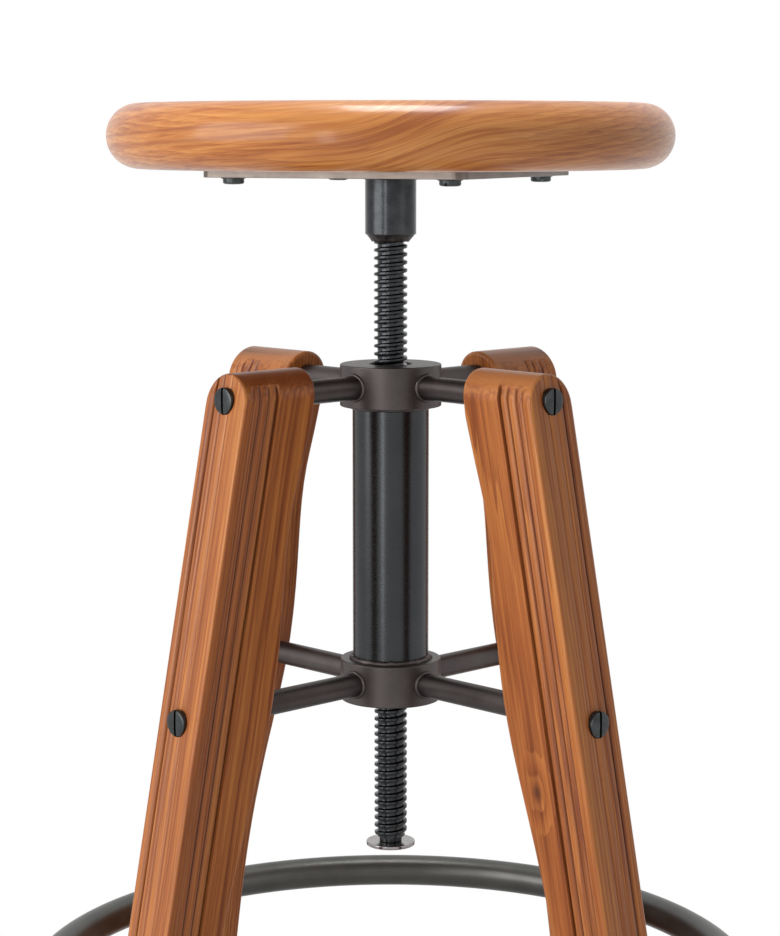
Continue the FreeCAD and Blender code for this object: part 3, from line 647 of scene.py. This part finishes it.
# %% Sleeve
SLEEVE, SPIGOT = 16, 8.5
sleeve_bottom, sleeve_top = low("seat_sleeve"), high("seat_sleeve")
sleeve = lathe([(SPIGOT, sleeve_bottom), (SLEEVE, sleeve_bottom), (SLEEVE, sleeve_top),
                (SPIGOT, sleeve_top), (SPIGOT, sleeve_bottom)], steps=80)
piece(soften(sleeve, 0.6), "spindle_sleeve", "seat", "black_steel", blackened, "seat_sleeve")

# %% [markdown]
# ## Welds
# A weld run is a row of overlapping puddles. A small ring is swept round the joint, and smooth
# noise, which always gives the same numbers, pushes its surface in and out.


# %% Weld beads
def rippled(bm, amount, grain):
    """Pushes every vertex along its normal by smooth noise of a grain size in millimetres."""
    bm.normal_update()
    for vert in bm.verts:
        vert.co += vert.normal * noise.noise(vert.co / (grain * MM)) * amount * MM
    return bm


def bead(radius, height, size, steps=120):
    """A round section swept about the Z axis."""
    bm = bmesh.new()
    made = bmesh.ops.create_circle(bm, segments=12, radius=size * MM)
    bmesh.ops.rotate(bm, verts=bm.verts, cent=(0, 0, 0), matrix=Matrix.Rotation(math.pi / 2, 3, "X"))
    bmesh.ops.translate(bm, verts=bm.verts, vec=(radius * MM, 0, height * MM))
    bmesh.ops.spin(bm, geom=made["verts"] + bm.edges[:], cent=(0, 0, 0), axis=(0, 0, 1), angle=FULL_TURN,
                   steps=steps, use_merge=True)
    return tidy(bm)


weld_bottom = low("sleeve_welds")
blob = lathe([(8.7, weld_bottom + 0.2), (11.6, weld_bottom + 0.2), (12.3, weld_bottom + 1.2),
              (13.2, weld_bottom + 2.4), (14.6, weld_bottom + 3.8), (15.2, sleeve_bottom + 0.3),
              (8.7, sleeve_bottom + 0.3), (8.7, weld_bottom + 0.2)], steps=72)
upper = bead(15.8, plate_bottom - 0.1, 1.9, steps=90)
upper_part = rippled(upper, 0.5, 3.0)
lower_part = rippled(blob, 0.7, 3.2)
piece(joined(lower_part, upper_part), "sleeve_weld_beads", "seat", "black_steel", weld_metal,
      "sleeve_welds", crisp=80)

# %% [markdown]
# ## The spindle
# The thread is the heart of the stool. One tooth is drawn over a single pitch and spun round while
# it climbs, so the helix is exact and in step with the CAD thread. The foot is bevelled by drawing
# in every vertex that lies outside a cone.

# %% Cut the thread
PITCH = 5
ROOT, CREST = 8.3, 10.5
NECK, NECK_LENGTH = 7.2, 3
STEPS_PER_TURN = 40
thread_bottom = low("lift_screw") + NECK_LENGTH
thread_top = weld_bottom
turns = math.ceil((thread_top - thread_bottom) / PITCH) + 2
rising = [(ROOT, -2.5), (ROOT, -1.6), (ROOT + 0.2, -1.38), (CREST - 0.3, -0.93), (CREST, -0.65)]
tooth = rising + [(r, -z) for r, z in reversed(rising)]
winding = bmesh.new()
bmesh.ops.spin(winding, geom=wire(winding, [(r, z + thread_bottom - PITCH) for r, z in tooth]),
               cent=(0, 0, 0), axis=(0, 0, 1), dvec=(0, 0, PITCH * MM / STEPS_PER_TURN), angle=FULL_TURN,
               steps=STEPS_PER_TURN)
shape = joined(*[moved(winding.copy(), shift=(0, 0, PITCH * number)) for number in range(turns)])
winding.free()
bmesh.ops.remove_doubles(shape, verts=shape.verts, dist=2e-5)
for height, facing in ((thread_bottom, -1), (thread_top, 1)):
    bmesh.ops.bisect_plane(shape, geom=shape.verts[:] + shape.edges[:] + shape.faces[:], dist=1e-7,
                           plane_co=(0, 0, height * MM), plane_no=(0, 0, facing), clear_outer=True)
    rims = [e for e in shape.edges if e.is_boundary]
    bmesh.ops.holes_fill(shape, edges=rims, sides=0)
for vert in shape.verts:
    reach = math.hypot(vert.co.x, vert.co.y)
    allowed = ROOT * MM + max(0.0, vert.co.z - thread_bottom * MM)
    if reach > allowed:
        vert.co.x *= allowed / reach
        vert.co.y *= allowed / reach
bmesh.ops.recalc_face_normals(shape, faces=shape.faces)

# %% Neck and spigot
neck_top, neck_bottom = thread_bottom + 0.4, thread_bottom - NECK_LENGTH
neck = lathe([(0, neck_top), (NECK, neck_top), (NECK, neck_bottom), (0, neck_bottom)], steps=48)
spigot_top = high("lift_screw")
spigot = lathe([(0, thread_top - 0.3), (SPIGOT - 0.3, thread_top - 0.3), (SPIGOT, thread_top),
                (SPIGOT, spigot_top), (0, spigot_top)], steps=48)
piece(joined(shape, soften(neck, 0.3), spigot), "threaded_spindle", "seat", "spindle_steel", blackened,
      "lift_screw", crisp=50)

# %% [markdown]
# The stop washer keeps the spindle from winding out of the column. It is a plain disc of bare
# steel, loose on the shoulder of a screw that goes up into the spindle.

# %% Stop washer and its screw
washer_bottom, washer_top = low("stop_washer"), high("stop_washer")
disc = lathe([(5.05, washer_bottom), (15.75, washer_bottom), (15.75, washer_top), (5.05, washer_top),
              (5.05, washer_bottom)], steps=80)
piece(soften(disc, 0.5, segments=3), "stop_disc", "stop", "washer_steel", bare_disc, "stop_washer")
THIN_HEAD = 1.8
head_top = low("washer_screw") + THIN_HEAD
shoulder = moved(lathe([(0, -0.05), (5, -0.05), (5, 2.6), (0, 2.6)], steps=40), shift=(0, 0, head_top))
stem = moved(screw(15, THIN_HEAD, 6, 16, crown=0.6, slot_depth=0.9), shift=(0, 0, head_top))
piece(joined(stem, shoulder), "disc_screw", "seat", "fastener_steel", screw_black, "washer_screw")

# %% [markdown]
# ## The column
# Two turned collars hold the tube between them. The upper one has an open mouth round the spindle,
# where the threaded insert shows as a dark gap.


# %% Collars and tube
COLLAR = 32
INSERT = 15.9
MOUTH_DEPTH = 3
TUBE, TUBE_WALL = 24.15, 3.2
TUBE_SEAT = TUBE + 0.05


def collar(node, name, mouth_low, mouth_high):
    """A turned ring with its own mouth radius below and above."""
    bottom, top = low(node), high(node)
    ring = lathe([(mouth_low, bottom), (COLLAR, bottom), (COLLAR, top), (mouth_high, top),
                  (mouth_high, top - MOUTH_DEPTH), (INSERT, top - MOUTH_DEPTH),
                  (INSERT, bottom + MOUTH_DEPTH), (mouth_low, bottom + MOUTH_DEPTH), (mouth_low, bottom)],
                 steps=112)
    piece(soften(ring, 0.8, segments=3), name, "frame", "black_steel", column_lacquer, node)


collar("upper_collar", "collar_upper", TUBE_SEAT, 13.5)
collar("lower_collar", "collar_lower", 11.5, TUBE_SEAT)
tube_bottom, tube_top = low("centre_tube"), high("centre_tube")
bore = TUBE - TUBE_WALL
tube = lathe([(bore, tube_bottom), (TUBE, tube_bottom), (TUBE, tube_top), (bore, tube_top),
              (bore, tube_bottom)], steps=112)
piece(tube, "column_tube", "frame", "black_steel", tube_lacquer, "centre_tube")
upper_run = rippled(bead(TUBE + 0.4, low("upper_collar") - 0.3, 1.5), 0.25, 3.5)
lower_run = rippled(bead(TUBE + 0.4, high("lower_collar") + 0.3, 1.9), 0.7, 3.0)
piece(joined(upper_run, lower_run), "column_weld_beads", "frame", "black_steel", column_lacquer,
      "tube_welds", crisp=80)

# %% [markdown]
# ## The arms
# Eight round bars run from the collars into the legs. A raised bead rings each where it leaves the
# collar, and every point of that bead is pulled back onto the collar's round side.

# %% Arms and their beads
ARM = 7.5
SOCKET = 8
CLAMP = 34
LEG_FACE = 136.5
UPPER_AXIS = (low("upper_collar") + high("upper_collar")) / 2
LOWER_AXIS = (low("lower_collar") + high("lower_collar")) / 2
TILT = math.tan(math.radians(SPLAY))


def face(height):
    """Distance of the legs' outer faces from the axis, at a height."""
    return LEG_FACE + TILT * (UPPER_AXIS - height)


for level, height in (("upper", UPPER_AXIS), ("lower", LOWER_AXIS)):
    for where, angle in CORNERS.items():
        start, end = COLLAR - SOCKET, face(height) - CLAMP
        bar = lathe([(0, start), (ARM, start), (ARM, end), (0, end)], steps=48)
        moved(bar, turn=90, axis="Y")
        moved(bar, shift=(0, 0, height))
        piece(moved(bar, turn=angle), "arm_%s_%s" % (level, where), "frame", "black_steel", column_lacquer,
              "%s_arm_%s" % (level, where))
    ring = bead(ARM + 0.3, 0, 1.25, steps=56)
    moved(ring, turn=90, axis="Y")
    for vert in ring.verts:
        vert.co.x += math.sqrt((COLLAR * MM) ** 2 - vert.co.y ** 2) + 0.1 * MM
    rippled(ring, 0.2, 3.0)
    piece(at_corners(moved(ring, shift=(0, 0, height))), level + "_arm_beads", "frame", "black_steel",
          column_lacquer, level + "_arm_welds", crisp=80)

# %% [markdown]
# ## The legs
# Each leg is a board on edge. Its outer half is moulded: three rounded reeds and a deep quirk down
# each side, and shallower ones down the outer face. The inner edge is waisted. The section is drawn
# once as a loop of points. Near the top the board arches over, so the loop narrows with the arch and
# carries the side grooves up it, until they run out just below the crown.

# %% Section of a leg
HALF = 18.3
# Down one side, from the plain board to the outer corner: depth from the face, cut into the side
SIDE = [(30.0, 0), (27.5, 0), (27.2, 0.2), (26.8, 1.6), (26.4, 2.2), (25.7, 1.5), (24.6, 0.8),
        (23.2, 0.4), (21.8, 0.4), (20.8, 0.75), (20.2, 1.3), (19.7, 1.9), (19.2, 1.2), (18.4, 0.6),
        (17.0, 0.3), (15.2, 0.3), (14.0, 0.6), (13.2, 1.1), (12.6, 1.8), (12.0, 1.1), (11.2, 0.5),
        (10.0, 0.25), (8.8, 0.35), (8.1, 0.7), (7.7, 1.1), (7.2, 0.6), (6.4, 0.2), (4.5, 0.05)]
CORNER = [(2.2, 0.0), (1.3, 0.15), (0.6, 0.6), (0.15, 1.3)]
# Across the outer face: place across, depth cut into the face
FACE = [(-16.1, 0.0), (-14.0, 0.05), (-12.3, 0.25), (-11.4, 0.9), (-10.8, 2.1), (-10.2, 1.5), (-9.2, 0.5),
        (-7.6, 0.15), (-5.4, 0.2), (-4.4, 0.5), (-3.8, 1.0), (-3.2, 0.6), (-2.0, 0.2), (-0.4, 0.08),
        (1.6, 0.15), (2.8, 0.4), (3.5, 0.9), (4.2, 0.5), (5.2, 0.18), (7.0, 0.02), (9.5, 0.0), (12.6, 0.05),
        (16.1, 0.1)]
# Inner corner: depth from the inner edge, place across
INNER = [(0.0, 15.9), (0.7, 17.6), (2.4, 18.3)]
GROOVE_END = 7
RUN_OUT = 3
STEADY_SHARE = 0.6
MIRRORED = ("front_right", "back_left")


def narrowed(y, lost):
    """A place across the face once the arch has taken some of each side: only the outer part moves."""
    edge = abs(FACE[0][0])
    kept = STEADY_SHARE * (edge - lost)
    squeeze = (edge - lost - kept) / (edge - kept)
    return math.copysign(min(abs(y), kept) + max(0, abs(y) - kept) * squeeze, y)


def leg_loop(height, depth, top, mirrored):
    """The section at a height: (distance from the axis, across, groove depth) for each point."""
    fade = min(1.0, max(0.0, (top - GROOVE_END - height) / RUN_OUT)) ** 0.5
    risen = max(0.0, min(height, top - GROOVE_END) - (top - HALF))
    lost = HALF - math.sqrt(HALF ** 2 - risen ** 2)
    side = [(u, HALF - lost - cut * fade, cut * fade) for u, cut in SIDE]
    side += [(u, HALF - lost - cut, 0) for u, cut in CORNER]
    inner = [(depth - u, y - lost, 0) for u, y in INNER]
    left = [(u, -y, cut) for u, y, cut in inner + side]
    outer = [(cut, narrowed(y, lost), cut) for y, cut in FACE]
    if mirrored:
        outer = [(u, -y, cut) for u, y, cut in reversed(outer)]
    right = [(u, y, cut) for u, y, cut in reversed(inner + side)]
    return [(face(height) - u, y, cut) for u, y, cut in left + outer + right]


# %% [markdown]
# The loop is extruded from foot to top, and each new loop is set to its height. The leg's depth at
# that height comes from the CAD leg: a ray from beside the axis finds its inner edge. Plane cuts then
# round the top over into its arch, and three slanted ones at each end of a facet round the arch's rim.


# %% Extrude a leg
LOOP_STEP = 12
FIRST_LOOP, LAST_LOOP = 20, 560
ARCH_DROPS = (30, 24, 20, 18.3, 17, 15.8, 14.6, 13.4, 12.2, 11, 10, 9.2, 8.5, 7.8, 7.3, 7)
ARCH_FACETS = 25
RIM = 2.4
SHALLOWEST, DEEPEST = 0.6, 1.9
RAY_SIDE, RAY_BELOW_TOP = 9, 4


def next_ring(bm, edges, places):
    """Extrudes a loop of edges. Returns the new edges, and the new vertices in the old order."""
    grown = bmesh.ops.extrude_edge_only(bm, edges=edges)["geom"]
    lifted = {}
    for vert in (g for g in grown if isinstance(g, bmesh.types.BMVert)):
        for edge in vert.link_edges:
            below = edge.other_vert(vert)
            if below in places:
                lifted[places[below]] = vert
    edges = [g for g in grown if isinstance(g, bmesh.types.BMEdge) and g.is_boundary]
    return edges, [lifted[i] for i in range(len(places))]


def leg_stock(node, angle):
    """The moulded board along +X with a flat top. Also returns where its inner edge ends."""
    top = high(node)
    outward = Matrix.Rotation(math.radians(angle), 3, "Z") @ Vector((1, 0, 0))
    sideways = Vector((-outward.y, outward.x, 0))
    heights = [low("leg_front_left")] + list(range(FIRST_LOOP, LAST_LOOP, LOOP_STEP))
    heights += [top - drop for drop in ARCH_DROPS] + [top + 1]
    bm = bmesh.new()
    groove = bm.verts.layers.float.new("groove")
    edges, ring, places = [], [], {}
    for height in heights:
        probed = min(height, top - RAY_BELOW_TOP)
        beside = sideways * RAY_SIDE * MM + Vector((0, 0, probed * MM))
        inner_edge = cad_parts[node].ray_cast(beside, outward)[1]
        depth = face(probed) - (inner_edge - beside).length / MM
        loop = leg_loop(height, depth, top, node[len("leg_"):] in MIRRORED)
        if places:
            edges, ring = next_ring(bm, edges, places)
        else:
            ring = [bm.verts.new((0, 0, 0)) for point in loop]
            edges = [bm.edges.new((ring[i - 1], ring[i])) for i in range(len(ring))]
            bm.faces.new(ring)
        for vert, (x, y, cut) in zip(ring, loop):
            vert.co = (x * MM, y * MM, height * MM)
            vert[groove] = min(1.0, max(0.0, (cut - SHALLOWEST) / (DEEPEST - SHALLOWEST)))
        places = {vert: i for i, vert in enumerate(ring)}
    return bm, face(top) - depth


# %% Round the top of a leg
def plane_cut(bm, spot, facing):
    """Cuts off what lies beyond a plane through a spot, and closes the cut."""
    if all((v.co - spot * MM).dot(facing) < 1e-6 for v in bm.verts):
        return
    bmesh.ops.bisect_plane(bm, geom=bm.verts[:] + bm.edges[:] + bm.faces[:], dist=1e-7, plane_co=spot * MM,
                           plane_no=facing, clear_outer=True)
    bmesh.ops.holes_fill(bm, edges=[e for e in bm.edges if e.is_boundary], sides=0)


def arched(bm, top, inner_top):
    """Rounds the board's top over from side to side, and softens the rim at both ends of the arch."""
    outward = Vector((1, 0, TILT)).normalized()
    ends = ((face(top), outward), (inner_top, -outward))
    for facet in range(ARCH_FACETS):
        lean = math.pi * ((facet + 0.5) / ARCH_FACETS - 0.5)
        facing = Vector((0, math.sin(lean), math.cos(lean)))
        spot = Vector((0, 0, top - HALF)) + facing * HALF
        plane_cut(bm, spot, facing)
        for reach, end in ends:
            rim = Vector((reach + TILT * (top - spot.z), spot.y, spot.z))
            heart = rim - RIM * (facing + end) / (1 + facing.dot(end))
            for share in (0.25, 0.5, 0.75):
                slant = (facing * (1 - share) + end * share).normalized()
                plane_cut(bm, heart + slant * RIM, slant)
    bmesh.ops.recalc_face_normals(bm, faces=bm.faces)
    return bm


# %% Make the legs
HEAD = 16
CLEARANCE = 0.25
for where, angle in CORNERS.items():
    node = "leg_" + where
    stock, inner_top = leg_stock(node, angle)
    board = arched(stock, high(node), inner_top)
    spots = []
    for height in (UPPER_AXIS, LOWER_AXIS):
        flat = face(height + HEAD / 2)
        spots.append(moved(rod(HEAD / 2 + CLEARANCE, flat, flat + 20), shift=(0, 0, height)))
    board = moved(carved(board, *spots), turn=angle)
    piece(board, "reeded_" + node, "frame", "leg_wood", leg_wood[where], node, crisp=32)

# %% [markdown]
# The screws that pull the legs onto the arms are large slotted ones, their slots left upright.
# They bear on level flats cut into the sloping faces.


# %% Leg and ring screws
def level_screws(radius, height, *sizes):
    """Four screws round the axis with upright slots, their heads bearing at a radius."""
    one = screw(*sizes)
    moved(one, turn=90)
    moved(one, turn=-90, axis="Y")
    return at_corners(moved(one, shift=(radius, 0, height)))


for level, height in (("upper", UPPER_AXIS), ("lower", LOWER_AXIS)):
    fixings = level_screws(face(height + HEAD / 2), height, HEAD, 4, 8, 40)
    piece(fixings, level + "_slotted_screws", "frame", "fastener_steel", screw_black, level + "_leg_screws")

# %% [markdown]
# ## Foot ring and glides
# The ring is one bent tube, let a little way into the legs' faces and held by a screw at each. Its
# tube is spotted flat under each screw's head.

# %% Ring
RING_TUBE = 11
LET_IN = 0.5
SPOT_DEPTH = 2.2
RING_HEAD = 12
ring_height = (low("foot_ring") + high("foot_ring")) / 2
ring_radius = face(ring_height) + RING_TUBE - LET_IN
ring_flat = ring_radius + RING_TUBE - SPOT_DEPTH
hoop = bmesh.new()
bmesh.ops.create_circle(hoop, segments=28, radius=RING_TUBE * MM)
moved(hoop, turn=90, axis="X")
moved(hoop, shift=(ring_radius, 0, ring_height))
bmesh.ops.spin(hoop, geom=hoop.verts[:] + hoop.edges[:], cent=(0, 0, 0), axis=(0, 0, 1), angle=FULL_TURN,
               steps=168, use_merge=True)
spots = []
for angle in CORNERS.values():
    spot = moved(rod(RING_HEAD / 2 + CLEARANCE, ring_flat, ring_flat + 12), shift=(0, 0, ring_height))
    spots.append(moved(spot, turn=angle))
piece(carved(tidy(hoop), *spots), "foot_ring_tube", "frame", "ring_steel", ring_lacquer, "foot_ring")
fixings = level_screws(ring_flat, ring_height, RING_HEAD, 3.2, 6, 30)
piece(fixings, "ring_slotted_screws", "frame", "fastener_steel", screw_black, "ring_screws")

# %% [markdown]
# Each leg ends in a nylon disc with a stem up into the wood.

# %% Glides
GLIDE_INSET = 25
for where, angle in CORNERS.items():
    foot = face(low("leg_" + where)) - GLIDE_INSET
    glide = lathe([(0, 0), (11.5, 0), (12.6, 0.5), (13, 1.5), (13, 6), (3, 6), (3, 20), (0, 20)], steps=48)
    glide = moved(moved(glide, shift=(foot, 0, 0)), turn=angle)
    piece(glide, "nylon_" + where, "frame", "glide_plastic", nylon, "glide_" + where)

# %% [markdown]
# ## What stays as CAD
# The threaded insert and the guide bush sit deep in the collars, where their CAD shapes are as
# good as new ones, so they only get their finish.

# %% Inserts
for node, finish in (("lift_nut", blackened), ("guide_bush", brass)):
    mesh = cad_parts[node].data
    mesh.materials.clear()
    mesh.materials.append(finish)
